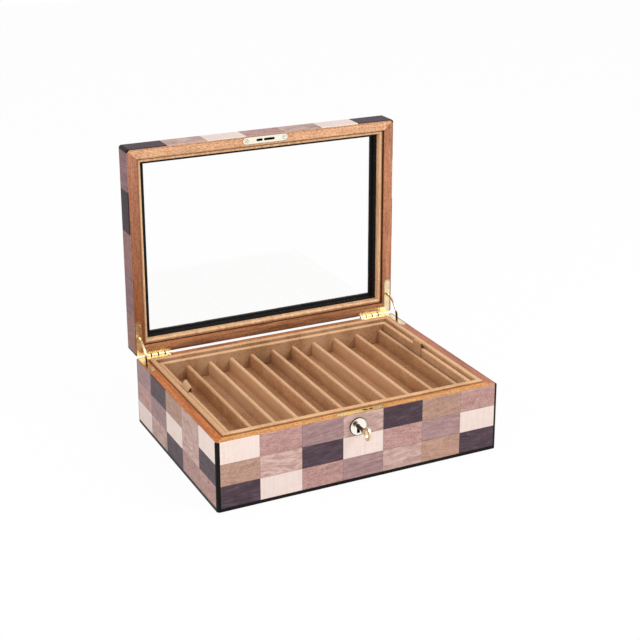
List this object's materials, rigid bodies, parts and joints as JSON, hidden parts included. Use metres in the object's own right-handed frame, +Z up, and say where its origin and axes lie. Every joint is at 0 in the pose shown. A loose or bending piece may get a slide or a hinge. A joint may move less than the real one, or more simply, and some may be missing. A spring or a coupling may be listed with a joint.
{
  "type": "pen collector chest",
  "caption": "Parquetry-veneered pen chest with a lift-out suede tray, a glazed lid on quadrant hinges with curved stays, and a keyed claw lock.",
  "frame": {"origin": "middle of the case's underside, on the table", "axes": "+Z up, -Y towards the front with the keyhole, +X to the viewer's right; the lid stands open at the back"},
  "size_m": [0.3, 0.2696, 0.2924],
  "materials": {
    "mahogany": "high gloss lacquer",
    "veneer_cream": "high gloss lacquer",
    "veneer_rose": "high gloss lacquer",
    "veneer_mauve": "high gloss lacquer",
    "veneer_pink": "high gloss lacquer",
    "veneer_dark": "high gloss lacquer",
    "veneer_taupe": "high gloss lacquer",
    "black_stringing": "high gloss lacquer",
    "suede": "soft nap",
    "ribbon": "plain weave",
    "felt": "soft nap",
    "clear_glass": "polished",
    "black_seal": "matte",
    "steel": "brushed",
    "polished_brass": "polished"
  },
  "bodies": {
    "case": {"back_lining": "suede", "back_wall": "mahogany", "base_felt": "felt", "base_panel": "mahogany", "case_corner_stringing": "black_stringing", "case_foot_stringing": "black_stringing", "case_screws": "polished_brass", "case_veneer_cream": "veneer_cream", "case_veneer_dark": "veneer_dark", "case_veneer_mauve": "veneer_mauve", "case_veneer_pink": "veneer_pink", "case_veneer_rose": "veneer_rose", "case_veneer_taupe": "veneer_taupe", "escutcheon": "polished_brass", "floor_lining": "suede", "front_lining": "suede", "front_wall": "mahogany", "hinge_pins": "steel", "left_case_hinge_leaf": "polished_brass", "left_lining": "suede", "left_tray_rest": "suede", "left_wall": "mahogany", "lock_case": "steel", "lock_cover": "steel", "lock_faceplate": "polished_brass", "right_case_hinge_leaf": "polished_brass", "right_lining": "suede", "right_tray_rest": "suede", "right_wall": "mahogany"},
    "lid": {"glass_seal": "black_seal", "glazing_bead": "mahogany", "left_lid_hinge_leaf": "polished_brass", "lid_back_rail": "mahogany", "lid_corner_stringing": "black_stringing", "lid_front_rail": "mahogany", "lid_glass": "clear_glass", "lid_left_rail": "mahogany", "lid_right_rail": "mahogany", "lid_screws": "polished_brass", "lid_veneer_cream": "veneer_cream", "lid_veneer_dark": "veneer_dark", "lid_veneer_mauve": "veneer_mauve", "lid_veneer_pink": "veneer_pink", "lid_veneer_rose": "veneer_rose", "lid_veneer_taupe": "veneer_taupe", "right_lid_hinge_leaf": "polished_brass", "strike_plate": "polished_brass"},
    "left_stay_bar": {"left_stay": "polished_brass"},
    "right_stay_bar": {"right_stay": "polished_brass"},
    "tray": {"left_lift_ribbon": "ribbon", "right_lift_ribbon": "ribbon", "tray_back_wall": "suede", "tray_dividers": "suede", "tray_floor": "suede", "tray_front_wall": "suede", "tray_left_wall": "suede", "tray_right_wall": "suede"},
    "key_turner": {"key": "polished_brass"},
    "claw": {"hook_claw": "steel"}
  },
  "joints": [
    {"name": "lid_hinge", "type": "hinge", "parent": "case", "child": "lid", "pos_m": [0, 0.1112, 0.0712], "axis": [-1, 0, 0], "range_deg": [-90, 0]},
    {"name": "left_stay_swing", "type": "hinge", "parent": "case", "child": "left_stay_bar", "pos_m": [-0.1455, 0.1112, 0.0712], "axis": [-1, 0, 0], "range_deg": [-45, 0]},
    {"name": "right_stay_swing", "type": "hinge", "parent": "case", "child": "right_stay_bar", "pos_m": [0.1455, 0.1112, 0.0712], "axis": [-1, 0, 0], "range_deg": [-45, 0]},
    {"name": "tray_lift", "type": "slide", "parent": "case", "child": "tray", "axis": [0, 0, 1], "range_m": [0, 0.008]},
    {"name": "key_turn", "type": "hinge", "parent": "case", "child": "key_turner", "pos_m": [-0.006, -0.1046, 0.0584], "axis": [0, 1, 0], "range_deg": [0, 90]},
    {"name": "claw_swing", "type": "hinge", "parent": "case", "child": "claw", "pos_m": [-0.0025, -0.1046, 0.0674], "axis": [0, -1, 0], "range_deg": [0, 81]}
  ],
  "couplings": [
    {"joint": "left_stay_swing", "follows": "lid_hinge", "ratio": 0.5},
    {"joint": "right_stay_swing", "follows": "lid_hinge", "ratio": 0.5},
    {"joint": "claw_swing", "follows": "key_turn", "ratio": 0.9}
  ]
}
